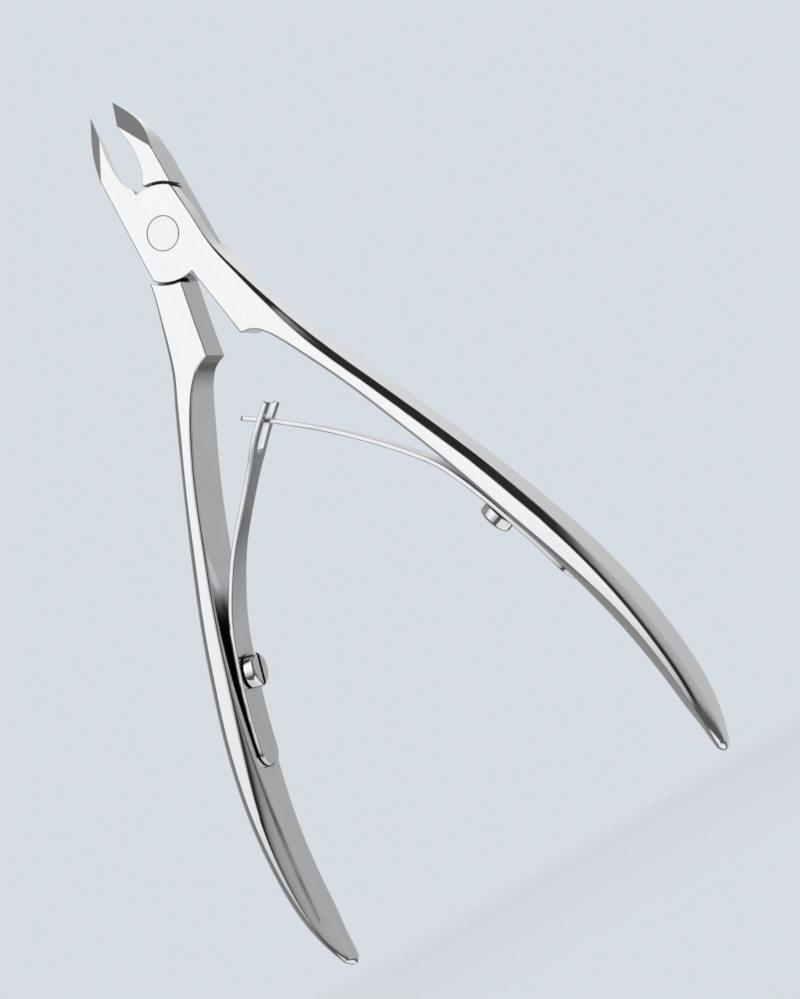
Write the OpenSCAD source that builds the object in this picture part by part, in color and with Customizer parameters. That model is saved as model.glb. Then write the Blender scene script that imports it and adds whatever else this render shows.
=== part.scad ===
// Cuticle nipper with a lap joint and two leaf springs that hook into each other.
// X is to the right, Y goes away from the front face, Z is up towards the jaws.
// The origin is on the rivet's axis, on the flat back face of the joint.
// Each half is drawn closed, with its jaw on the -X side and its handle on the +X side,
// and is then turned about the rivet by half of the opening angle.

/* [Joint] */
// Angle between the two halves at rest, from closed, in degrees
open_angle = 11.2; // [9.6:0.2:12.4]
// Thickness of the joint from front face to back face
joint_t = 5.2; // [5:0.1:5.6]
// Radius of the round ends of each lap plate
plate_r = 6.05; // [5.9:0.05:6.1]
// Gap between a plate's round end and the other half's shoulder
shoulder_gap = 0.4; // [0.3:0.05:0.6]
// Gap between the two lap plates
lap_gap = 0.04; // [0.02:0.01:0.1]
// Diameter of the rivet
rivet_d = 4.3; // [3.8:0.1:4.8]
// Radial running clearance round the rivet in the front half
rivet_play = 0.03; // [0.02:0.01:0.08]

/* [Jaws] */
// Height of the jaw tips above the rivet
jaw_top = 18.3; // [17.6:0.1:19]
// Length of the cutting edge, measured along Z
edge_len = 3.55; // [3:0.05:4]
// Distance of the jaw tips behind the front face
tip_depth = 1.65; // [1.3:0.05:2]
// Half of the gap left between the closed cutting edges
edge_gap = 0.01; // [0.01:0.01:0.03]
// Angle at which the hollow between the jaws widens towards the back
hollow_angle = 18; // [14:1:22]

/* [Handles] */
// How far both handles lean to the left between the joint and their tips
bow = 0.8; // [0:0.1:1]
// Scale on the width of the handles in the grip, front to back
grip_scale = 1; // [0.9:0.05:1.1]
// Depth of the bevel along the rounded outer side of the handles
bevel = 1.2; // [0.8:0.1:1.4]

/* [Springs] */
// Thickness of the leaf springs
leaf_t = 0.6; // [0.5:0.05:0.7]
// Width of the slot between the prongs of the forked spring
slot_w = 1.9; // [1.7:0.1:2]
// Width of the tongue's tip, which passes through the slot
tongue_w = 1.1; // [0.9:0.1:1.3]

/* [Screws] */
// Diameter of the screw heads
head_d = 4.3; // [3.8:0.1:4.6]
// Height of the screw heads
head_h = 1.5; // [1.2:0.1:1.8]
// Diameter of the screw shanks
shank_d = 2; // [1.8:0.1:2.2]
// Height of the screws below the rivet
screw_drop = 52.9; // [51.5:0.1:54]

/* [Hidden] */

$fn = 96;
half_t = joint_t / 2;
pocket_r = plate_r + shoulder_gap;
play = 0.02;               // clearance between pieces that touch
shank_len = 3.2;           // from under the head to the end of the shank
hole_depth = 2.4;          // of the tapped hole, from the handle's inner side
leaf_lift = 0.45;          // how far the bowed leaf stands off the handle at the screw
head_slot_w = 0.65;
head_slot_depth = 0.6;
leaf_hole_d = shank_d + 0.3;
slot_foot = -28.6;         // height of the lower end of the fork's slot
rivet_grip = 0.01;         // radial clearance of the rivet in the back half, where it is held
seat_gap = 0.12;           // under the flat screw head, above the slightly curved leaf
steps = 5;                 // spline pieces between two control points
handle_len = 91.2;         // from the rivet's axis down to the handle tips
grip_top = -15.6;          // height where the handles start to widen
steel = [0.80, 0.81, 0.82];
spring_steel = [0.74, 0.75, 0.77];

// ---- curves ----

function curve_point(a, b, c, d, t) =
    0.5 * (2 * b + (c - a) * t + (2 * a - 5 * b + 4 * c - d) * t * t
           + (3 * b - a - 3 * c + d) * t * t * t);

// A smooth curve through every control point
function spline(p) = [
    for (i = [0 : len(p) - 2], k = [0 : steps - 1])
        curve_point(p[max(i - 1, 0)], p[i], p[i + 1], p[min(i + 2, len(p) - 1)], k / steps),
    p[len(p) - 1]
];

function reversed(p) = [for (i = [len(p) - 1 : -1 : 0]) p[i]];

function left_normal(p, i) =
    let (d = p[min(i + 1, len(p) - 1)] - p[max(i - 1, 0)]) [-d.y, d.x] / norm(d);

function shifted(p, distance) =
    [for (i = [0 : len(p) - 1]) p[i] + distance * left_normal(p, i)];

// ---- outlines of one half, as [x, z], closed ----

edge_foot = jaw_top - edge_len;
jaw_corner = [-3.15, 10.2];          // where the ground facet meets the jaw's outer side
plate_corner = [-4.6, -3.4];         // lower outer corner of the lap plate
plate_right = 4.42;

// Outer side of the jaw, from the facet's corner up to the tip
jaw_outer = spline([jaw_corner, [-2.75, 13.2], [-1.8, 15.6], [-edge_gap, jaw_top]]);

// Inner side of the jaw on the front face, from above the tip down to the crotch
jaw_hollow = spline([
    [0.64, jaw_top + 0.6], [0, edge_foot], [-0.5, 12.8], [-0.8, 11.1],
    [-0.83, 9.5], [-0.62, 7.9], [0.1, 6.55]
]);

// Outer side of the handle, from the joint down to the tip
handle_outer = spline([
    [plate_right, 0], [4.4, -5.2], [5.3, -10.2], [6.5, -15.4], [8.1, -20.6], [9.9, -26],
    [12.3, -32.8], [14.6, -39.6], [16.8, -46.6], [18.7, -53.8], [20.3, -61], [21.3, -68.2],
    [21.6, -75], [21.3, -81.6], [20.3, -87.2], [18.9, -handle_len]
]);

// Inner side of the handle above the step, and below it down to the tip
neck_inner = [[0.3, -5.0], [0.35, -6.4], [0.8, -11.8], [1.05, -16.1]];
handle_inner = spline([
    [2.1, -16.5], [3.2, -17.3], [4.7, -19.6], [6.7, -24.2], [8.9, -30], [11.1, -37],
    [13.2, -44.2], [15.0, -51.4], [16.4, -58.6], [17.4, -65.8], [18.1, -73], [18.3, -80],
    [18.0, -86], [17.9, -90.6]
]);

// Half of the handle's width front to back, against height
grip_half = [
    [-handle_len, 0.7], [-90.4, 1.7], [-89, 2.55], [-87, 3.3], [-84, 4.0], [-79, 4.4],
    [-72, 4.55], [-62, 4.4], [-50, 4.15], [-36, 3.95], [-26, 3.9], [-22.5, 3.75],
    [-19.5, 3.35], [-17, 2.8], [grip_top, half_t]
];

// Depth of the bevel on the handle's outer side, against height
bevel_depth = [
    [-handle_len, 0.3], [-87, bevel], [-30, bevel], [-20, 0.5], [-14, -0.4], [0, -0.4]
];

// The handles lean to the left of the object, so by side = 1 in the front half and -1 in
// the back half, and the jaws and plates turn with them
function lean(z) = bow * sin(180 * z / handle_len);
function leaned(p, side) = [for (q = p) [q.x + side * lean(q.y), q.y]];
joint_turn = atan(bow * PI / handle_len);

function grip(z) = z > grip_top ? half_t : lookup(z, grip_half) * (z < -19 ? grip_scale : 1);

// ---- helpers ----

// Extrudes an [x, z] outline along Y, from y0 to y1
module along_y(y0, y1) translate([0, y1, 0]) rotate([90, 0, 0])
    linear_extrude(y1 - y0) children();

// Extrudes a [y, z] outline along X, from x0 to x1
module along_x(x0, x1) translate([x0, 0, 0]) rotate([90, 0, 90])
    linear_extrude(x1 - x0) children();

// Everything on the side of a plane that its normal points to
module beyond(point, normal, size = 40)
    translate(point)
        rotate([0, acos(normal.z / norm(normal)), atan2(normal.y, normal.x)])
            translate([-size / 2, -size / 2, 0]) cube(size);

// Turns a part of the front half, or of the back half, to the opening at rest
module front_side() translate([0, -half_t, 0]) rotate([0, -open_angle / 2, 0]) children();
module back_side() translate([0, -half_t, 0]) rotate([0, open_angle / 2, 0]) children();

// ---- pieces of one half ----

module jaw() {
    tip = [0, -half_t + tip_depth, jaw_top];
    foot = [0, -half_t, edge_foot];
    corner = [jaw_corner.x, -half_t, jaw_corner.y];
    root = 3;
    slope = (plate_corner.x - jaw_corner.x) / (plate_corner.y - jaw_corner.y);
    root_outer = jaw_corner.x + slope * (root - jaw_corner.y);
    back_start = 9;
    tip_thickness = 0.4;
    difference() {
        along_y(-half_t, half_t) polygon(concat(
            jaw_outer,
            [[-edge_gap, 6], [-edge_gap, root], [root_outer, root]]
        ));
        // ground facet on the front, between the tip, the edge's foot and the corner
        beyond(foot, cross(foot - corner, tip - foot));
        // the jaw thins towards its tip on the back
        beyond([0, half_t, back_start],
               [0, jaw_top - back_start, joint_t - tip_depth - tip_thickness]);
        // hollow between the jaws, wider towards the back
        translate([0, -half_t, 0]) rotate([0, 0, hollow_angle])
            along_y(-3, 12) polygon(concat(jaw_hollow, [[6, 6.55], [6, jaw_top + 0.6]]));
    }
}

module lap_plate() {
    along_y(-half_t, -lap_gap / 2) intersection() {
        circle(plate_r);
        polygon([
            jaw_corner, plate_corner, plate_corner + [-0.4, -3.75],
            [plate_right, -8], [plate_right, 8]
        ]);
    }
}

module handle(side) {
    outer = leaned(handle_outer, side);
    intersection() {
        along_y(-6, 6) polygon(concat(
            outer, reversed(leaned(handle_inner, side)), reversed(leaned(neck_inner, side))
        ));
        along_x(-2, 26) polygon(concat(
            [for (z = [0, grip_top]) [half_t, z]],
            [for (i = [len(grip_half) - 2 : -1 : 0]) [grip(grip_half[i].x), grip_half[i].x]],
            [for (i = [0 : len(grip_half) - 2]) [-grip(grip_half[i].x), grip_half[i].x]],
            [for (z = [grip_top, 0]) [-half_t, z]]
        ));
        for (edge = [-1, 1]) rotate([0, 0, edge * 45])
            along_y(-30, 30) polygon(concat(
                [for (p = outer)
                    [(p.x + grip(p.y)) / sqrt(2) - lookup(p.y, bevel_depth), p.y]],
                [[-20, outer[len(outer) - 1].y], [-20, 0]]
            ));
    }
}

// Where the inner side of the handle is at a height
function inner_x(z, side) =
    lookup(z, [for (p = reversed(leaned(handle_inner, side))) [p.y, p.x]]);

// Places children with local +Z along the screw, out of the handle's inner side
module at_screw(side) {
    reach = 2;
    slope = inner_x(reach - screw_drop, side) - inner_x(-reach - screw_drop, side);
    translate([inner_x(-screw_drop, side), 0, -screw_drop])
        rotate([0, -90 + atan2(slope, 2 * reach), 0]) children();
}

module half(bore_r, side) {
    difference() {
        union() {
            rotate([0, side * joint_turn, 0]) lap_plate();
            difference() {
                union() {
                    rotate([0, side * joint_turn, 0]) children();
                    handle(side);
                }
                // room for the other half's lap plate
                along_y(-lap_gap / 2, half_t + 5) circle(pocket_r);
            }
        }
        along_y(-half_t - 1, half_t + 1) circle(bore_r);
        at_screw(side) translate([0, 0, -hole_depth])
            cylinder(h = hole_depth + 1, d = shank_d + 2 * play);
    }
}

module leaf_shape(free_path, widths, side) {
    path = spline(concat(leaned(leaf_foot, side), free_path));
    difference() {
        intersection() {
            along_y(-4, 4) difference() {
                polygon(concat(
                    shifted(path, play), reversed(shifted(path, play + leaf_t))
                ));
                translate([-play, 0]) polygon(concat(
                    leaned(handle_inner, side), [[30, -91], [30, -16]]
                ));
            }
            along_x(-12, 22) polygon(concat(
                [for (w = widths) [w.y / 2, w.x]],
                [for (w = reversed(widths)) [-w.y / 2, w.x]]
            ));
        }
        at_screw(side) translate([0, 0, -1]) cylinder(h = 3, d = leaf_hole_d);
    }
}

// Both leaves touch the handle's inner side at their lower end, and bow away from it above
leaf_foot = [[17.25, -64.8], [16.25, -58.6], [14.6, -51.4], [13.1, -46.6]];

module spring_screw(side) {
    at_screw(side) translate([0, 0, leaf_lift + leaf_t + seat_gap]) {
        difference() {
            cylinder(h = head_h, d = head_d);
            translate([-head_d, -head_slot_w / 2, head_h - head_slot_depth])
                cube([2 * head_d, head_slot_w, head_slot_depth + 1]);
        }
        translate([0, 0, -shank_len]) cylinder(h = shank_len, d = shank_d);
    }
}

// ---- nodes ----

module front_half() color(steel) front_side() half(rivet_d / 2 + rivet_play, 1) jaw();

module back_half() color(steel) back_side() rotate([0, 0, 180])
    half(rivet_d / 2 + rivet_grip, -1) rotate([0, 0, 180]) mirror([1, 0, 0]) jaw();

module rivet() color(steel) along_y(-joint_t, 0) circle(rivet_d / 2);

module forked_spring() color(spring_steel) back_side() mirror([1, 0, 0]) difference() {
    leaf_shape(
        [[11.7, -42.0], [9.4, -38.2], [6.3, -34.2], [3.2, -30.4], [0.5, -27.2], [-2.5, -24.3]],
        [[-65.4, 2.2], [-64.6, 3.8], [-62.5, 4.9], [-52, 5.0], [-44, 4.4], [-36, 3.1],
         [-31, 3.2], [-28.5, 4.1], [-25.4, 4.1], [-24, 3.3], [-23, 2.9]],
        -1
    );
    // slot between the prongs, open at the top
    translate([-20, 0, slot_foot]) rotate([0, 90, 0]) cylinder(h = 40, d = slot_w);
    translate([-20, -slot_w / 2, slot_foot]) cube([40, slot_w, 12]);
}

module tongue_spring() color(spring_steel) front_side() leaf_shape(
    [[11.0, -43.6], [9.1, -40.6], [6.3, -36.8], [2.9, -32.7], [-0.4, -29.2], [-3.4, -26.2],
     [-6.4, -23.5]],
    [[-65.4, 2.2], [-64.6, 3.8], [-62.5, 4.9], [-52, 5.0], [-44, 4.0], [-33, 2.4],
     [-29.5, tongue_w], [-23, tongue_w]],
    1
);

module forked_spring_screw() color(steel) back_side() mirror([1, 0, 0]) spring_screw(-1);

module tongue_spring_screw() color(steel) front_side() spring_screw(1);

front_half();
back_half();
rivet();
forked_spring();
tongue_spring();
forked_spring_screw();
tongue_spring_screw();
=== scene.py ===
"""Looks of the cuticle nipper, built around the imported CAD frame.

Lengths of the object are millimetres, as in the CAD source, and its meshes are turned into
metres when they are placed; the floor, the lamp and the camera are in metres. Each half is drawn
with the tool closed, jaw at -X and handle at +X, and is then turned about the rivet by half of
the opening. The back half is the same drawing mirrored in X.
"""

import math

import bmesh
import bpy
from mathutils import Matrix, Vector


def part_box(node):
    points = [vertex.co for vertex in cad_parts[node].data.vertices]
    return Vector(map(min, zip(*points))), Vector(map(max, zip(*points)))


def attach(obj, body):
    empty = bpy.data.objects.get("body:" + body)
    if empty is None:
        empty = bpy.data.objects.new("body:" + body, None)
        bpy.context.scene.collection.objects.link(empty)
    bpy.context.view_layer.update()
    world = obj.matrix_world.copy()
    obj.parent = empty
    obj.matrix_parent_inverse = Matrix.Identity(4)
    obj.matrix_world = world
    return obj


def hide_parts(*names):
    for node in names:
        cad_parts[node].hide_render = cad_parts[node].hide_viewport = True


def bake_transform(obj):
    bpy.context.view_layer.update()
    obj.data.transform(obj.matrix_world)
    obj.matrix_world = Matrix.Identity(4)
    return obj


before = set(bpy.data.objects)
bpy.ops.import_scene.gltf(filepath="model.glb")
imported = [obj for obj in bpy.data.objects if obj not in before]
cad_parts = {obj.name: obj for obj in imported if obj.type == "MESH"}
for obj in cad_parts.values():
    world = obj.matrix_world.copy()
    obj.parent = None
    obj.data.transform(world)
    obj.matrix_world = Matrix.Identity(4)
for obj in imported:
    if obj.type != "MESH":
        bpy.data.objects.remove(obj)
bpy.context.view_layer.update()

MM = 0.001

# ---- driving dimensions ----

rivet_low, rivet_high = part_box("rivet")
JOINT_T = (rivet_high[1] - rivet_low[1]) / MM
RIVET_R = (rivet_high[0] - rivet_low[0]) / MM / 2
HALF_T = JOINT_T / 2
OPEN_ANGLE = 11.2
PLATE_R = 6.05
POCKET_R = 6.45
LAP_GAP = 0.04
BORE_PLAY = 0.03
BROKEN_EDGE = 0.2
GRIP_ROUND = (1.2, 1.35)       # largest rounding of the handle's outer corners, in X and in Y
FACET_X_SHARE = 0.36           # width in X of the tail's facets, as a share of its thickness
FACET_Y = 2.2                  # width in Y of the tail's facets
END_ROUND = 0.9                # length over which the handle's end closes
END_TRIM, TIP_TRIM = 0.08, 0.01        # keep the handle's end and the jaw's tip in the CAD box
JAW_TOP = 18.3
EDGE_FOOT = 14.75
EDGE_GAP = 0.01
TIP_DEPTH = 1.65
TIP_THICKNESS = 0.4
HOLLOW_ANGLE = 18
BOW = 0.8
HANDLE_LEN = 91.2
LEAF_T = 0.6
LEAF_GAP = 0.04                # between a leaf's path and its near face
LEAF_LIFT = 0.45               # how far the bowed leaves stand off the handles at the screws
PRONG_END_R = 0.5              # length over which the prongs' ends are rounded
TONGUE_END_R = 0.55
SLOT_HALF = 0.95               # half of the width of the slot in the forked leaf
SCREW_DROP = 52.9
SCREW_R = 1.0
SCREW_HOLE_DEPTH = 2.4
SEAT_GAP = 0.12                # between the bowed leaf and the screw's head
FRONT, BACK = 1, -1            # which half, as the side of X that its handle is on

# ---- outlines of one half, as (x, z), with the tool closed ----

JAW_CORNER = (-3.15, 10.2)
PLATE_CORNER = (-4.6, -3.4)
PLATE_RIGHT = 4.42
JAW_ROOF = 6.55                # where the hollow between the jaws starts
ABOVE_JAW = JAW_TOP + 0.6

JAW_OUTER = [JAW_CORNER, (-2.75, 13.2), (-1.8, 15.6), (-EDGE_GAP, JAW_TOP)]
JAW_HOLLOW = [
    (0.64, ABOVE_JAW), (0, EDGE_FOOT), (-0.5, 12.8), (-0.8, 11.1),
    (-0.83, 9.5), (-0.62, 7.9), (0.1, JAW_ROOF),
]
HANDLE_OUTER = [
    (PLATE_RIGHT, 0), (4.4, -5.2), (5.3, -10.2), (6.5, -15.4), (8.1, -20.6), (9.9, -26),
    (12.3, -32.8), (14.6, -39.6), (16.8, -46.6), (18.7, -53.8), (20.3, -61), (21.3, -68.2),
    (21.6, -75), (21.3, -81.6), (20.3, -87.2), (18.9, -HANDLE_LEN),
]
NECK_INNER = [(0.3, -5.0), (0.35, -6.4), (0.8, -11.8), (1.05, -16.1), (2.1, -16.5)]
HANDLE_INNER = [
    (2.1, -16.5), (3.2, -17.3), (4.7, -19.6), (6.7, -24.2), (8.9, -30), (11.1, -37),
    (13.2, -44.2), (15.0, -51.4), (16.4, -58.6), (17.4, -65.8), (18.1, -73), (18.3, -80),
    (18.0, -86), (17.9, -90.6),
]
# Half of the handle's width front to back, as (z, half width)
GRIP_HALF = [
    (-HANDLE_LEN, 0.7), (-90.4, 1.7), (-89, 2.55), (-87, 3.3), (-84, 4.0), (-79, 4.4), (-72, 4.55),
    (-62, 4.4), (-50, 4.15), (-36, 3.95), (-26, 3.9), (-22.5, 3.75), (-19.5, 3.35),
    (-17, 2.85), (-15.2, HALF_T + 0.03), (-12.5, HALF_T), (-11, HALF_T),
]
LEAF_FOOT = [(17.25, -64.8), (16.25, -58.6), (14.6, -51.4), (13.1, -46.6)]
FORK_FREE = [
    (11.7, -42.0), (9.4, -38.2), (6.3, -34.2), (3.2, -30.4), (0.5, -27.2), (-2.5, -24.3),
]
TONGUE_FREE = [
    (11.0, -43.6), (9.1, -40.6), (6.3, -36.8), (2.9, -32.7), (-0.4, -29.2), (-3.4, -26.2),
    (-6.4, -23.5),
]
# Full width of the leaves, as (z, width)
FORK_WIDTH = [
    (-66, 4.6), (-61, 4.9), (-52, 5.0), (-44, 4.4), (-36, 3.1), (-31, 3.2),
    (-28.5, 4.1), (-23, 4.0),
]
TONGUE_WIDTH = [
    (-66, 4.6), (-61, 4.9), (-52, 5.0), (-44, 4.0), (-33, 2.4), (-29.5, 1.1),
    (-23, 1.1),
]


# ---- curves and tables ----

def spline(points, steps=6):
    """A smooth curve through every point."""
    out = []
    for i in range(len(points) - 1):
        a, b, c, d = (
            Vector(points[max(0, min(len(points) - 1, i + k))]) for k in (-1, 0, 1, 2)
        )
        for k in range(steps):
            t = k / steps
            out.append(0.5 * (
                2 * b + (c - a) * t + (2 * a - 5 * b + 4 * c - d) * t * t
                + (3 * b - a - 3 * c + d) * t * t * t
            ))
    out.append(Vector(points[-1]))
    return out


def lookup(key, table):
    """Straight interpolation in (key, value) pairs with rising keys, held at the ends."""
    if key <= table[0][0]:
        return table[0][1]
    for (k0, v0), (k1, v1) in zip(table, table[1:]):
        if key <= k1:
            return v0 + (v1 - v0) * (key - k0) / (k1 - k0)
    return table[-1][1]


def by_height(curve):
    """Turns an (x, z) curve into (z, x) pairs with rising z."""
    return sorted((p[1], p[0]) for p in curve)


def smooth_step(low, high, value):
    t = max(0.0, min(1.0, (value - low) / (high - low)))
    return t * t * (3 - 2 * t)


def signed_power(value, power):
    """A sine or cosine raised to a power: 1 keeps a corner round, and 2 makes it a straight bevel."""
    return math.copysign(abs(value) ** power, value) if abs(value) > 1e-9 else 0.0


def lean(z):
    """Shift in X of both halves at a height: to the left below the rivet, to the right above."""
    if z > 0:
        return z * BOW * math.pi / HANDLE_LEN
    return BOW * math.sin(math.pi * z / HANDLE_LEN)


OUTER_AT = by_height(spline(HANDLE_OUTER))
INNER_AT = by_height(spline(HANDLE_INNER) + [Vector(p) for p in NECK_INNER[:-1]])
JAW_OUTER_AT = by_height(spline(JAW_OUTER))
GRIP_AT = sorted(tuple(p) for p in spline(GRIP_HALF))


# ---- mesh helpers ----

def new_object(name, bm):
    mesh = bpy.data.meshes.new(name)
    bmesh.ops.recalc_face_normals(bm, faces=bm.faces)
    bm.to_mesh(mesh)
    bm.free()
    obj = bpy.data.objects.new(name, mesh)
    bpy.context.scene.collection.objects.link(obj)
    return obj


def loft(name, rings):
    """A closed solid through rings that have the same number of points."""
    bm = bmesh.new()
    rows = [[bm.verts.new(p) for p in ring] for ring in rings]
    count = len(rows[0])
    for low, high in zip(rows, rows[1:]):
        for i in range(count):
            j = (i + 1) % count
            bm.faces.new((low[i], low[j], high[j], high[i]))
    bm.faces.new(rows[0][::-1])
    bm.faces.new(rows[-1])
    return new_object(name, bm)


def lathe(name, profile, segments=96):
    """A solid turned about Z from (radius, z) pairs; it starts and ends on the axis."""
    bm = bmesh.new()
    turn = [2 * math.pi * i / segments for i in range(segments)]
    rows = []
    for radius, z in profile:
        if radius == 0:
            rows.append([bm.verts.new((0, 0, z))])
            continue
        rows.append([bm.verts.new((radius * math.cos(a), radius * math.sin(a), z)) for a in turn])
    for low, high in zip(rows, rows[1:]):
        for i in range(segments):
            j = (i + 1) % segments
            corners = (low[i % len(low)], low[j % len(low)], high[j % len(high)], high[i % len(high)])
            face = list(dict.fromkeys(corners))
            if len(face) > 2:
                bm.faces.new(face)
    return new_object(name, bm)


def prism(name, outline, start, end):
    """An (x, z) outline swept straight from one offset to another."""
    return loft(name, [[Vector((x, 0, z)) + Vector(shift) for x, z in outline]
                       for shift in (start, end)])


def block(name, matrix):
    """A cube of size 1 about the origin, moved and stretched by a matrix."""
    bm = bmesh.new()
    bmesh.ops.create_cube(bm, size=1, matrix=matrix)
    return new_object(name, bm)


def beyond(name, point, normal, size=60):
    """A block that covers the jaw on the side of a plane that its normal points to."""
    turn = Vector(normal).to_track_quat("Z", "Y").to_matrix().to_4x4()
    half_off = Matrix.Translation((0, 0, size / 2))
    return block(name, Matrix.Translation(point) @ turn @ half_off @ Matrix.Scale(size, 4))


def carve(obj, cutters):
    """Cuts the cutters out of a mesh, and removes them."""
    for cutter in cutters:
        cut = obj.modifiers.new("cut", "BOOLEAN")
        cut.operation = "DIFFERENCE"
        cut.solver = "EXACT"
        cut.object = cutter
    depsgraph = bpy.context.evaluated_depsgraph_get()
    mesh = bpy.data.meshes.new_from_object(obj.evaluated_get(depsgraph))
    obj.modifiers.clear()
    obj.data = mesh
    for cutter in cutters:
        bpy.data.objects.remove(cutter)


def place(obj, matrix):
    """Moves a millimetre mesh into the frame, in metres."""
    matrix = Matrix.Scale(MM, 4) @ matrix
    obj.data.transform(matrix)
    if matrix.determinant() < 0:
        obj.data.flip_normals()


def smooth(obj, angle=32):
    """Smooth shading, with edges sharper than the angle kept."""
    bm = bmesh.new()
    bm.from_mesh(obj.data)
    merge_m, flat = 1e-7, math.radians(0.2)
    bmesh.ops.remove_doubles(bm, verts=bm.verts, dist=merge_m)
    bmesh.ops.dissolve_degenerate(bm, edges=bm.edges, dist=merge_m)
    bmesh.ops.dissolve_limit(bm, angle_limit=flat, verts=bm.verts, edges=bm.edges)
    bm.to_mesh(obj.data)
    bm.free()
    obj.data.shade_smooth()
    obj.data.set_sharp_from_angle(angle=math.radians(angle))
    weight = obj.modifiers.new("normals", "WEIGHTED_NORMAL")
    weight.keep_sharp = True
    weight.weight = 80


def finish_piece(obj, name, material):
    """Gives a piece its material in its one slot, and hides the CAD node that it stands for."""
    obj.data.materials.clear()
    obj.data.materials.append(material)
    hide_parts(name)


def half_place(side):
    """Where a half's drawing goes: turned by half of the opening, mirrored for the back half."""
    turn = Matrix.Rotation(math.radians(-side * OPEN_ANGLE / 2), 4, "Y")
    mirror = Matrix.Diagonal((side, 1, 1, 1))
    return Matrix.Translation((0, -HALF_T, 0)) @ turn @ mirror


# ---- the two halves ----

def half_limits(z):
    """Inner and outer x of a half's outline at a height, never closer than a thin slice."""
    thinnest = 0.02
    slope = (PLATE_CORNER[0] - JAW_CORNER[0]) / (PLATE_CORNER[1] - JAW_CORNER[1])
    side_line = JAW_CORNER[0] + slope * (z - JAW_CORNER[1])
    chord = math.sqrt(max(0.0, PLATE_R ** 2 - z ** 2))
    if z < -PLATE_R:
        return lookup(z, INNER_AT), lookup(z, OUTER_AT)
    if z < 0:
        return max(side_line, -chord), lookup(z, OUTER_AT)
    right = -EDGE_GAP if z >= PLATE_R else min(PLATE_RIGHT, chord)
    left = side_line if z < JAW_CORNER[1] else lookup(z, JAW_OUTER_AT)
    return left, max(right, left + thinnest)


def corner_radii(z, thick, half_w):
    """X radius, Y radius and flatness of a section's outer corners, and of its inner corners.

    The edges are barely broken at the joint. The outer corners grow into the rounded grip, and
    the inner ones into the long facets of the handle's tail.
    """
    grip = smooth_step(0, -26, z)
    below_neck = smooth_step(-12, -24, z)
    tail = smooth_step(-50, -76, z) * smooth_step(-HANDLE_LEN - 2, -86, z)
    jaw = smooth_step(9, 15, z)
    edge = min(BROKEN_EDGE * (1 - jaw) + 0.01, 0.4 * thick)
    outer_x = edge + grip * (min(0.45 * thick, GRIP_ROUND[0]) - edge)
    outer_y = edge + grip * (min(0.5 * half_w, GRIP_ROUND[1]) - edge)
    inner_x = min(edge + below_neck * (0.3 + FACET_X_SHARE * thick * tail), 0.53 * thick)
    inner_y = edge + below_neck * (0.25 + FACET_Y * tail)
    return (outer_x, outer_y, 1 + 0.3 * grip), (inner_x, inner_y, 1 + 0.75 * tail)


def half_section(z):
    """One level ring of a half, before it leans."""
    left, right = half_limits(z)
    centre = (left + right) / 2
    half_w = HALF_T if z > GRIP_AT[-1][0] else lookup(z, GRIP_AT)
    outer, inner = corner_radii(z, right - left, half_w)
    swell, end_swell = 1.0, 0.04
    into_end = (END_ROUND - HANDLE_LEN - z) / END_ROUND
    if into_end > 0:
        swell = math.sqrt(max(0.0, 1 - into_end * into_end)) + end_swell
    corners = [
        (right - outer[0], -half_w + outer[1], -90, outer),
        (right - outer[0], half_w - outer[1], 0, outer),
        (left + inner[0], half_w - inner[1], 90, inner),
        (left + inner[0], -half_w + inner[1], 180, inner),
    ]
    ring = []
    for cx, cy, start, (rx, ry, flatness) in corners:
        for k in range(9):
            a = math.radians(start + 90 * k / 8)
            x = centre + swell * (cx + rx * signed_power(math.cos(a), flatness) - centre)
            y = swell * (cy + ry * signed_power(math.sin(a), flatness))
            ring.append((x, y, z))
    return ring


def half_heights():
    """Heights of the rings, closer together where the outline turns quickly."""
    levels = set()

    def span(low, high, step):
        count = max(1, round((high - low) / step))
        levels.update(round(low + (high - low) * i / count, 4) for i in range(count + 1))

    span(-HANDLE_LEN + END_TRIM, -90, 0.15)
    span(-90, -86, 0.5)
    span(-86, -20, 1.2)
    span(-20, -17.5, 0.3)
    span(-17.5, -15.5, 0.1)
    span(-15.5, -6.6, 0.7)
    span(-6.6, -6.06, 0.2)
    for i in range(25):
        levels.add(round(PLATE_R * math.sin(math.pi * (i / 24 - 0.5)), 4))
    span(PLATE_R + 0.01, JAW_CORNER[1], 0.5)
    span(JAW_CORNER[1], JAW_TOP - TIP_TRIM, 0.35)
    return sorted(levels)


def jaw_cutters():
    """The planes and the hollow that shape a jaw, before it leans."""
    tip = Vector((0, -HALF_T + TIP_DEPTH, JAW_TOP))
    foot = Vector((0, -HALF_T, EDGE_FOOT))
    corner = Vector((JAW_CORNER[0], -HALF_T, JAW_CORNER[1]))
    facet = (foot - corner).cross(tip - foot)
    taper_start = 9                # height where the back of the jaw starts to slope
    sweep_start, sweep_end = -3, 12
    taper = Vector((0, JAW_TOP - taper_start, JOINT_T - TIP_DEPTH - TIP_THICKNESS))
    sweep = math.radians(HOLLOW_ANGLE)
    along = Vector((-math.sin(sweep), math.cos(sweep), 0))
    front = Vector((0, -HALF_T, 0))
    clear_x = 6
    outline = [tuple(p) for p in spline(JAW_HOLLOW)]
    outline += [(clear_x, JAW_ROOF), (clear_x, ABOVE_JAW)]
    return [
        beyond("facet", foot, facet),
        beyond("taper", (0, HALF_T, taper_start), taper),
        prism("hollow", outline, front + sweep_start * along, front + sweep_end * along),
    ]


def turned_cutter(name, profile, matrix):
    """A cutter turned about Z from (radius, z) pairs, then moved by a matrix."""
    cutter = lathe(name, profile)
    cutter.data.transform(matrix)
    return cutter


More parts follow.
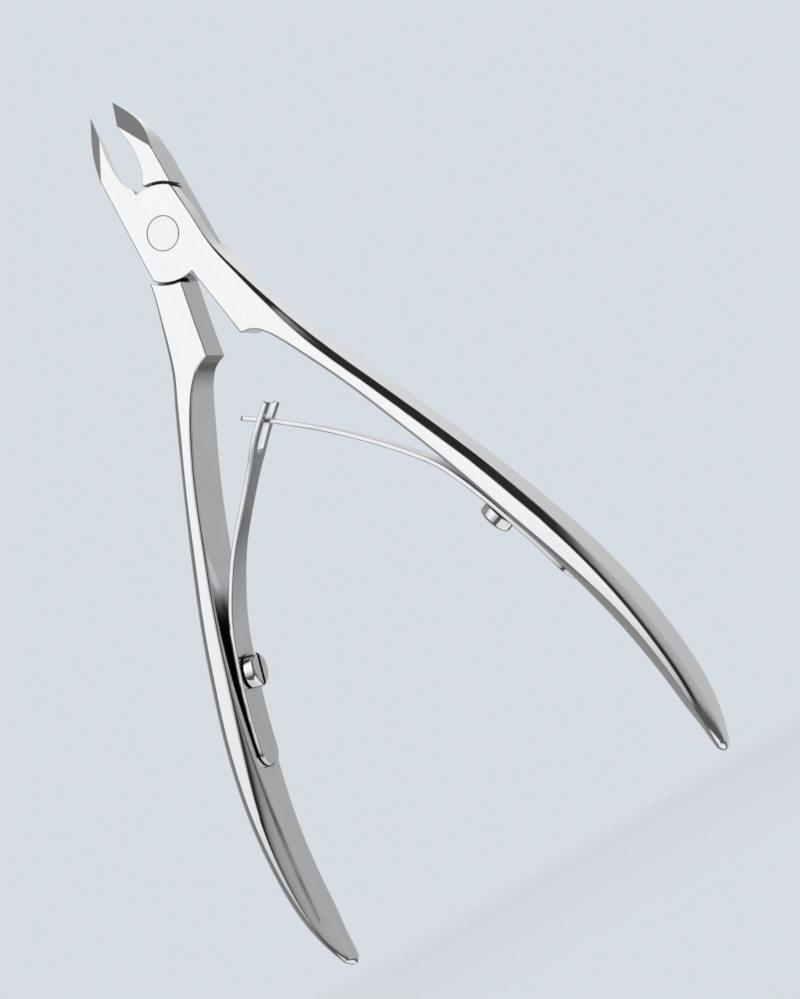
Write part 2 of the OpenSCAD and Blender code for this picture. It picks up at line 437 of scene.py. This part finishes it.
def drill(name, radius, low, high, matrix):
    """A plain round cutter between two heights along Z, then moved by a matrix."""
    return turned_cutter(name, [(0, low), (radius, low), (radius, high), (0, high)], matrix)


def screw_matrix(side):
    """Local +Z points out of the handle's inner side, at the screw."""
    reach = 2

    def inner(z):
        return lookup(z, INNER_AT) + side * lean(z)

    slope = (inner(reach - SCREW_DROP) - inner(-reach - SCREW_DROP)) / (2 * reach)
    turn = Matrix.Rotation(-math.pi / 2 + math.atan(slope), 4, "Y")
    return Matrix.Translation((inner(-SCREW_DROP), 0, -SCREW_DROP)) @ turn


def build_half(name, side, material):
    """One forging, with the pocket for the other plate, the rivet's bore and the screw's hole."""
    body = loft(name, [half_section(z) for z in half_heights()])
    carve(body, jaw_cutters())
    for vertex in body.data.vertices:
        vertex.co.x += side * lean(vertex.co.z)
    outwards = Matrix.Rotation(math.radians(90 * side), 4, "X")     # +Z out of the plate's face
    other_plate = Matrix.Rotation(math.radians(-90 * side), 4, "X")
    clear = 8
    bore = RIVET_R + BORE_PLAY
    chamfer, over = 0.06, 0.5
    bore_profile = [
        (0, -clear / 2), (bore, -clear / 2), (bore, HALF_T - chamfer),
        (bore + chamfer + over, HALF_T + over), (0, HALF_T + over),
    ]
    carve(body, [
        drill("pocket", POCKET_R, LAP_GAP / 2, clear, other_plate),
        turned_cutter("bore", bore_profile, outwards),
        drill("screw_hole", SCREW_R + 0.02, -SCREW_HOLE_DEPTH, 3, screw_matrix(side)),
    ])
    place(body, half_place(side))
    smooth(body)
    finish_piece(body, name, material)
    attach(body, name)


# ---- leaf springs ----

RING_STEP = 0.8                # between the rings of a leaf


def resampled(path, end_radii):
    """Points along a path, close together where the leaf's ends are rounded.

    Each comes with the part of the leaf's width that the rounding leaves there.
    """
    lengths = [0.0]
    for a, b in zip(path, path[1:]):
        lengths.append(lengths[-1] + (b - a).length)
    total = lengths[-1]
    foot_r, tip_r = end_radii
    between = total - foot_r - tip_r
    count = round(between / RING_STEP)
    turns = [math.pi / 2 * k / 8 for k in range(8)]
    at = [foot_r * (1 - math.cos(t)) for t in turns]
    at += [foot_r + between * k / count for k in range(count + 1)]
    at += [total - tip_r * (1 - math.cos(t)) for t in reversed(turns)]
    out = []
    for s in at:
        x = lookup(s, [(k, p.x) for k, p in zip(lengths, path)])
        z = lookup(s, [(k, p.y) for k, p in zip(lengths, path)])
        near = min(s / foot_r, (total - s) / tip_r, 1.0)
        out.append((Vector((x, z)), math.sqrt(max(0.0, 1 - (1 - near) ** 2))))
    return out


def leaf_rings(path, widths, end_radii, forked):
    """Rounded rectangular rings along a leaf. A fork's end stays wide, as its prongs are rounded."""
    rings = []
    centre_off = LEAF_GAP + LEAF_T / 2
    edge, end_edge = 0.13, 0.1
    points = resampled(path, end_radii)
    last = len(points) - 1
    for i, (point, part) in enumerate(points):
        along = (points[min(i + 1, last)][0] - points[max(i - 1, 0)][0]).normalized()
        normal = Vector((-along.y, along.x))
        middle = point + centre_off * normal
        half_w = lookup(middle.y, widths) / 2
        if forked and i > last // 2:
            half_w += 0.8 * PRONG_END_R * (part - 1)
        else:
            half_w = max(half_w * part, 0.2)
        half_t = LEAF_T / 2
        radius = min(edge, half_w * 0.9)
        if i in (0, last):
            half_t *= 0.75
            half_w *= 0.95 if forked else 0.8
            radius = min(end_edge, half_w * 0.9)
        corners = [
            (half_t - radius, -half_w + radius, -90), (half_t - radius, half_w - radius, 0),
            (-half_t + radius, half_w - radius, 90), (-half_t + radius, -half_w + radius, 180),
        ]
        ring = []
        for across, y, start in corners:
            for k in range(4):
                a = math.radians(start + 30 * k)
                off = across + radius * math.cos(a)
                ring.append((middle.x - off * normal.x, y + radius * math.sin(a),
                             middle.y - off * normal.y))
        rings.append(ring)
    return rings


def build_leaf(name, side, free_path, widths, tip_r, material, cutters=()):
    """A leaf that bends between the end of its foot on the handle and its free tip."""
    foot_r, steps = 2.2, 12
    leaned = [(x + side * lean(z), z) for x, z in LEAF_FOOT]
    path = spline(leaned + free_path, steps)
    width_at = [tuple(p) for p in spline(widths, 4)]
    leaf = loft(name, leaf_rings(path, width_at, (foot_r, tip_r), bool(cutters)))
    screw_hole = drill("leaf_hole", SCREW_R + 0.15, -1, 2, screw_matrix(side))
    carve(leaf, [screw_hole, *cutters])
    turn = half_place(side)
    place(leaf, turn)
    smooth(leaf, 40)
    finish_piece(leaf, name, material)
    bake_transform(leaf)


def fork_slot():
    """The open slot between the prongs, round at its foot and flared where the prongs end."""
    foot, prongs_end, top, reach = -28.6, -24.45, -16, 20
    flare_r = 0.35
    outline = [(SLOT_HALF * math.cos(a), foot + SLOT_HALF * math.sin(a))
               for a in (math.pi * (1 + i / 16) for i in range(17))]
    flare = [(SLOT_HALF + flare_r * (1 - math.cos(a)), prongs_end - flare_r * (1 - math.sin(a)))
             for a in (math.pi / 2 * k / 6 for k in range(7))]
    outline += flare + [(flare[-1][0], top), (-flare[-1][0], top)]
    outline += [(-y, z) for y, z in reversed(flare)]
    return loft("fork_slot", [[(x, y, z) for y, z in outline] for x in (-reach, reach)])


# ---- turned pieces ----

def build_screw(name, side, body_name, material):
    """A slotted screw with a rounded head, seated on its leaf."""
    head_r, head_h, crown_r = 2.15, 1.5, 0.45
    shank_len, lead_in, seat_edge = 3.2, 0.2, 0.08
    slot_w, slot_depth = 0.7, 0.6
    cutter_len, cutter_h = 6, 2
    seat = LEAF_LIFT + LEAF_T + SEAT_GAP
    top = seat + head_h
    shank_end = seat - shank_len
    crown = [(head_r - crown_r * (1 - math.cos(a)), top - crown_r * (1 - math.sin(a)))
             for a in (math.pi / 2 * k / 6 for k in range(7))]
    screw = lathe(name, [
        (0, shank_end), (SCREW_R - lead_in, shank_end), (SCREW_R, shank_end + lead_in),
        (SCREW_R, seat), (head_r - seat_edge, seat), (head_r, seat + seat_edge), *crown, (0, top),
    ])
    slot_at = Matrix.Translation((0, 0, top - slot_depth + cutter_h / 2))
    carve(screw, [block("slot", slot_at @ Matrix.Diagonal((cutter_len, slot_w, cutter_h, 1)))])
    place(screw, half_place(side) @ screw_matrix(side))
    smooth(screw)
    finish_piece(screw, name, material)
    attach(screw, body_name)


def build_rivet(material):
    """The rivet, flush with both faces of the joint."""
    rim = 0.05
    profile = [
        (0, -HALF_T), (RIVET_R - rim, -HALF_T), (RIVET_R, -HALF_T + rim),
        (RIVET_R, HALF_T - rim), (RIVET_R - rim, HALF_T), (0, HALF_T),
    ]
    rivet = lathe("rivet", profile, 128)
    rivet.data.transform(Matrix.Rotation(math.pi / 2, 4, "X"))
    place(rivet, Matrix.Translation((0, -HALF_T, 0)))
    smooth(rivet, 20)
    finish_piece(rivet, "rivet", material)
    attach(rivet, "back_half")


# ---- materials ----

class Nodes:
    """A short way to add and join shader nodes."""

    def __init__(self, tree):
        self.tree = tree
        tree.nodes.clear()

    def add(self, kind, inputs=None, **settings):
        node = self.tree.nodes.new(kind)
        for key, value in settings.items():
            setattr(node, key, value)
        for key, value in (inputs or {}).items():
            if isinstance(value, bpy.types.NodeSocket):
                self.tree.links.new(value, node.inputs[key])
            else:
                node.inputs[key].default_value = value
        return node

    def math(self, operation, a, b=0.0):
        return self.add("ShaderNodeMath", {0: a, 1: b}, operation=operation).outputs[0]

    def blend(self, value, from_low, from_high, to_low, to_high, smoothed=True):
        """Maps a value from one range to another, held at the ends."""
        kind = "SMOOTHSTEP" if smoothed else "LINEAR"
        return self.add("ShaderNodeMapRange", {
            0: value, 1: from_low, 2: from_high, 3: to_low, 4: to_high,
        }, interpolation_type=kind).outputs[0]


def steel(name, tone, roughness, brush, edge_mm=0.1):
    """Bare steel: fine polishing lines along `brush`, faint smudges, softly broken edges, and painted
    shade in its crevices.
    """
    material = bpy.data.materials.new(name)
    material.use_nodes = True
    n = Nodes(material.node_tree)
    place_at = n.add("ShaderNodeTexCoord").outputs["Object"]
    across_lines, along_lines = 2600, 60
    stretch = [along_lines if axis == brush else across_lines for axis in "XYZ"]
    lines_at = n.add("ShaderNodeMapping", {"Vector": place_at, "Scale": stretch}).outputs[0]
    lines = n.add("ShaderNodeTexNoise", {
        "Vector": lines_at, "Scale": 1.0, "Detail": 4.0, "Roughness": 0.6,
    }).outputs[0]
    smudge = n.add("ShaderNodeTexNoise", {
        "Vector": place_at, "Scale": 160.0, "Detail": 3.0, "Roughness": 0.55,
    }).outputs[0]
    specks = n.add("ShaderNodeTexNoise", {
        "Vector": place_at, "Scale": 3000.0, "Detail": 2.0,
    }).outputs[0]
    rough = n.math("ADD", n.blend(smudge, 0.35, 0.7, roughness * 0.75, roughness * 1.35),
                   n.blend(lines, 0.3, 0.7, -0.02, 0.03))
    shade = n.math("MULTIPLY", n.blend(smudge, 0.3, 0.7, 0.97, 1.0),
                   n.blend(lines, 0.3, 0.7, 0.975, 1.0))
    # Painted shade: the steel's colour darkens where ambient occlusion finds crevices, narrow gaps and
    # contacts
    open_sky_for_painted_shade = n.add("ShaderNodeAmbientOcclusion", {"Distance": 1.8 * MM}, samples=8).outputs["AO"]
    shade = n.math("MULTIPLY", shade, n.blend(open_sky_for_painted_shade, 0.15, 0.8, 0.04, 1.0))     # dark crevices
    colour = n.add("ShaderNodeMix", {
        "Factor": shade, 6: (0, 0, 0, 1), 7: (*tone, 1),
    }, data_type="RGBA").outputs[2]
    rounded = n.add("ShaderNodeBevel", {"Radius": edge_mm * MM}, samples=6).outputs[0]
    lined = n.add("ShaderNodeBump", {
        "Height": lines, "Strength": 0.04, "Distance": 0.003 * MM, "Normal": rounded,
    }).outputs[0]
    grained = n.add("ShaderNodeBump", {
        "Height": specks, "Strength": 0.02, "Distance": 0.002 * MM, "Normal": lined,
    }).outputs[0]
    surface = n.add("ShaderNodeBsdfPrincipled", {
        "Base Color": colour, "Metallic": 1.0, "Roughness": rough, "Normal": grained,
    }).outputs[0]
    n.add("ShaderNodeOutputMaterial", {"Surface": surface})
    return material


def floor_material(fade_from, fade_to):
    """A matt pale floor that fades away from the middle."""
    material = bpy.data.materials.new("pale_floor")
    material.use_nodes = True
    n = Nodes(material.node_tree)
    place_at = n.add("ShaderNodeTexCoord").outputs["Object"]
    distance = n.add("ShaderNodeVectorMath", {0: place_at}, operation="LENGTH").outputs["Value"]
    grain = n.add("ShaderNodeTexNoise", {"Vector": place_at, "Scale": 900.0}).outputs[0]
    tone = n.add("ShaderNodeMix", {
        "Factor": grain, 6: (0.66, 0.70, 0.73, 1), 7: (0.70, 0.74, 0.77, 1),
    }, data_type="RGBA").outputs[2]
    bump = n.add("ShaderNodeBump", {
        "Height": grain, "Strength": 0.1, "Distance": 0.1 * MM,
    }).outputs[0]
    matt = n.add("ShaderNodeBsdfPrincipled", {
        "Base Color": tone, "Roughness": 0.7, "Normal": bump,
    }).outputs[0]
    lit = n.add("ShaderNodeEmission", {"Color": (*BACKGROUND, 1)}).outputs[0]
    matt_part = 0.22
    pale = n.add("ShaderNodeMixShader", {0: matt_part, 1: lit, 2: matt}).outputs[0]
    clear = n.add("ShaderNodeBsdfTransparent").outputs[0]
    fade = n.blend(distance, fade_from, fade_to, 0.0, 1.0)
    mixed = n.add("ShaderNodeMixShader", {0: fade, 1: pale, 2: clear}).outputs[0]
    n.add("ShaderNodeOutputMaterial", {"Surface": mixed})
    return material


# ---- stage, light and camera ----

def build_floor():
    """A flat disc just below the handles' tips, which the steel doesn't reflect."""
    radius, drop = 0.16, 0.0925
    fade_from, fade_to = 0.07, 0.15
    rings, around = 8, 96
    turn = [2 * math.pi * i / around for i in range(around)]
    bm = bmesh.new()
    middle = bm.verts.new((0, 0, 0))
    rows = []
    for k in range(1, rings + 1):
        r = radius * k / rings
        rows.append([bm.verts.new((r * math.cos(a), r * math.sin(a), 0)) for a in turn])
    for i in range(around):
        j = (i + 1) % around
        bm.faces.new((middle, rows[0][i], rows[0][j]))
        for low, high in zip(rows, rows[1:]):
            bm.faces.new((low[i], high[i], high[j], low[j]))
    floor = new_object("floor", bm)
    floor.location = (0, 0, -drop)
    floor.visible_glossy = False
    floor.data.materials.append(floor_material(fade_from, fade_to))


# The studio's walls, as (azimuth, brightness): the azimuth in degrees from the front (-Y)
# towards the right (+X)
STUDIO = [
    (-180, 0.60), (-160, 0.60), (-146, 0.30), (-104, 0.24), (-62, 0.15), (-46, 0.75),
    (-32, 1.0), (-8, 1.05), (22, 1.0), (32, 0.8), (42, 0.05), (50, 0.02), (64, 0.02),
    (78, 0.33), (90, 0.40), (118, 0.46), (142, 0.42), (157, 0.42), (170, 0.60), (180, 0.60),
]
BACKGROUND = (0.678, 0.723, 0.760)     # seen by the camera behind the object


def wall_brightness(n, azimuth):
    """The studio's walls as a colour ramp over the azimuth, in radians."""
    turn = n.blend(azimuth, -math.pi, math.pi, 0.0, 1.0, smoothed=False)
    ramp = n.add("ShaderNodeValToRGB", {0: turn})
    stops = ramp.color_ramp.elements
    while len(stops) > 1:
        stops.remove(stops[-1])
    stops[0].position = 0
    brightest = max(value for angle, value in STUDIO)
    for angle, value in STUDIO:
        at = (angle + 180) / 360
        stop = stops[0] if at == 0 else stops.new(at)
        stop.color = (value / brightest,) * 3 + (1,)
    return n.math("MULTIPLY", ramp.outputs[0], brightest)


def degrees_step(n, angle, start, end):
    """0 before the start angle and 1 beyond the end angle, in degrees."""
    return n.blend(angle, math.radians(start), math.radians(end), 0.0, 1.0)


def build_world():
    """A plain pale background, and a studio of soft walls that only the object sees."""
    world = bpy.data.worlds.new("studio")
    bpy.context.scene.world = world
    world.use_nodes = True
    n = Nodes(world.node_tree)
    direction = n.add("ShaderNodeTexCoord").outputs["Generated"]
    x, y, z = n.add("ShaderNodeSeparateXYZ", {0: direction}).outputs
    front = n.math("MULTIPLY", y, -1.0)
    height = n.math("ARCSINE", z)
    in_front = n.blend(front, 0.2, 0.7, 0.0, 1.0)
    not_in_front = n.math("SUBTRACT", 1.0, in_front)
    behind = n.blend(front, -0.5, -0.85, 0.0, 1.0)
    to_right = n.blend(x, 0.47, 0.62, 0.0, 1.0)
    brightness = wall_brightness(n, n.math("ARCTAN2", x, front))
    dimmer_below = n.blend(height, math.radians(-14), math.radians(15), 0.5, 1.0)
    patches = [
        (in_front, n.math("MULTIPLY", brightness, dimmer_below)),
        # A bright wall high up behind, and a dark screen high up on the right
        (n.math("MULTIPLY", behind, degrees_step(n, height, 14, 30)), 0.92),
        (n.math("MULTIPLY", to_right, degrees_step(n, height, 20, 30)), 0.02),
        # A dim ceiling everywhere but in front, with a lamp overhead
        (n.math("MULTIPLY", not_in_front, degrees_step(n, height, 44, 51)), 0.26),
        (degrees_step(n, height, 64, 74), 0.9),
        # Dark low down, and a pale table straight below
        (degrees_step(n, height, -13, -26), 0.10),
        (degrees_step(n, height, -40, -48), 0.85),
    ]
    for where, value in patches:
        brightness = n.add("ShaderNodeMix", {0: where, 2: brightness, 3: value}).outputs[0]
    tint = n.add("ShaderNodeCombineColor", {
        0: brightness, 1: n.math("MULTIPLY", brightness, 1.01), 2: n.math("MULTIPLY", brightness, 1.02),
    }).outputs[0]
    lit = n.add("ShaderNodeBackground", {"Color": tint, "Strength": 1.0}).outputs[0]
    plain = n.add("ShaderNodeBackground", {"Color": (*BACKGROUND, 1), "Strength": 1.0}).outputs[0]
    seen = n.add("ShaderNodeLightPath").outputs["Is Camera Ray"]
    both = n.add("ShaderNodeMixShader", {0: seen, 1: lit, 2: plain}).outputs[0]
    n.add("ShaderNodeOutputWorld", {"Surface": both})


def build_light():
    """A large soft lamp above and in front, for the shadow on the floor."""
    lamp = bpy.data.lights.new("soft_lamp", "AREA")
    lamp.shape = "DISK"
    lamp.size = 0.6
    lamp.energy = 4
    light = bpy.data.objects.new("soft_lamp", lamp)
    light.location = (-0.3, -0.5, 0.7)
    light.rotation_euler = (-light.location).to_track_quat("-Z", "Y").to_euler()
    light.visible_glossy = False
    bpy.context.scene.collection.objects.link(light)


def build_camera():
    """Below and to the right of the object, rolled so that the jaws point up and to the left."""
    place_at = (0.10029, -0.26366, -0.08457)
    azimuth, elevation, roll = (math.radians(a) for a in (19.414, -8.402, -30.345))
    data = bpy.data.cameras.new("camera")
    data.sensor_width = 36
    data.lens = 83.58
    data.clip_start = 0.01
    camera = bpy.data.objects.new("camera", data)
    bpy.context.scene.collection.objects.link(camera)
    forward = Vector((-math.sin(azimuth) * math.cos(elevation),
                      math.cos(azimuth) * math.cos(elevation), -math.sin(elevation)))
    level = forward.cross(Vector((0, 0, 1))).normalized()
    up = level.cross(forward)
    right = level * math.cos(roll) + up * math.sin(roll)
    up = right.cross(forward)
    turn = Matrix((right, up, -forward)).transposed()
    camera.matrix_world = Matrix.Translation(place_at) @ turn.to_4x4()
    bpy.context.scene.camera = camera


# ---- the whole scene ----

polished = steel("polished_steel", (0.90, 0.905, 0.91), 0.10, "Z")
satin = steel("satin_rivet", (0.88, 0.885, 0.89), 0.16, "X", 0.06)
sprung = steel("spring_steel", (0.84, 0.85, 0.865), 0.12, "Z", 0.08)
turned = steel("turned_screw_steel", (0.88, 0.885, 0.895), 0.07, "Y", 0.08)

build_half("front_half", FRONT, polished)
build_half("back_half", BACK, polished)
build_rivet(satin)
build_leaf("forked_spring", BACK, FORK_FREE, FORK_WIDTH, PRONG_END_R, sprung,
           [fork_slot()])
build_leaf("tongue_spring", FRONT, TONGUE_FREE, TONGUE_WIDTH, TONGUE_END_R, sprung)
build_screw("forked_spring_screw", BACK, "back_half", turned)
build_screw("tongue_spring_screw", FRONT, "front_half", turned)

build_floor()
build_world()
build_light()
build_camera()
bpy.context.scene.view_settings.view_transform = "Standard"
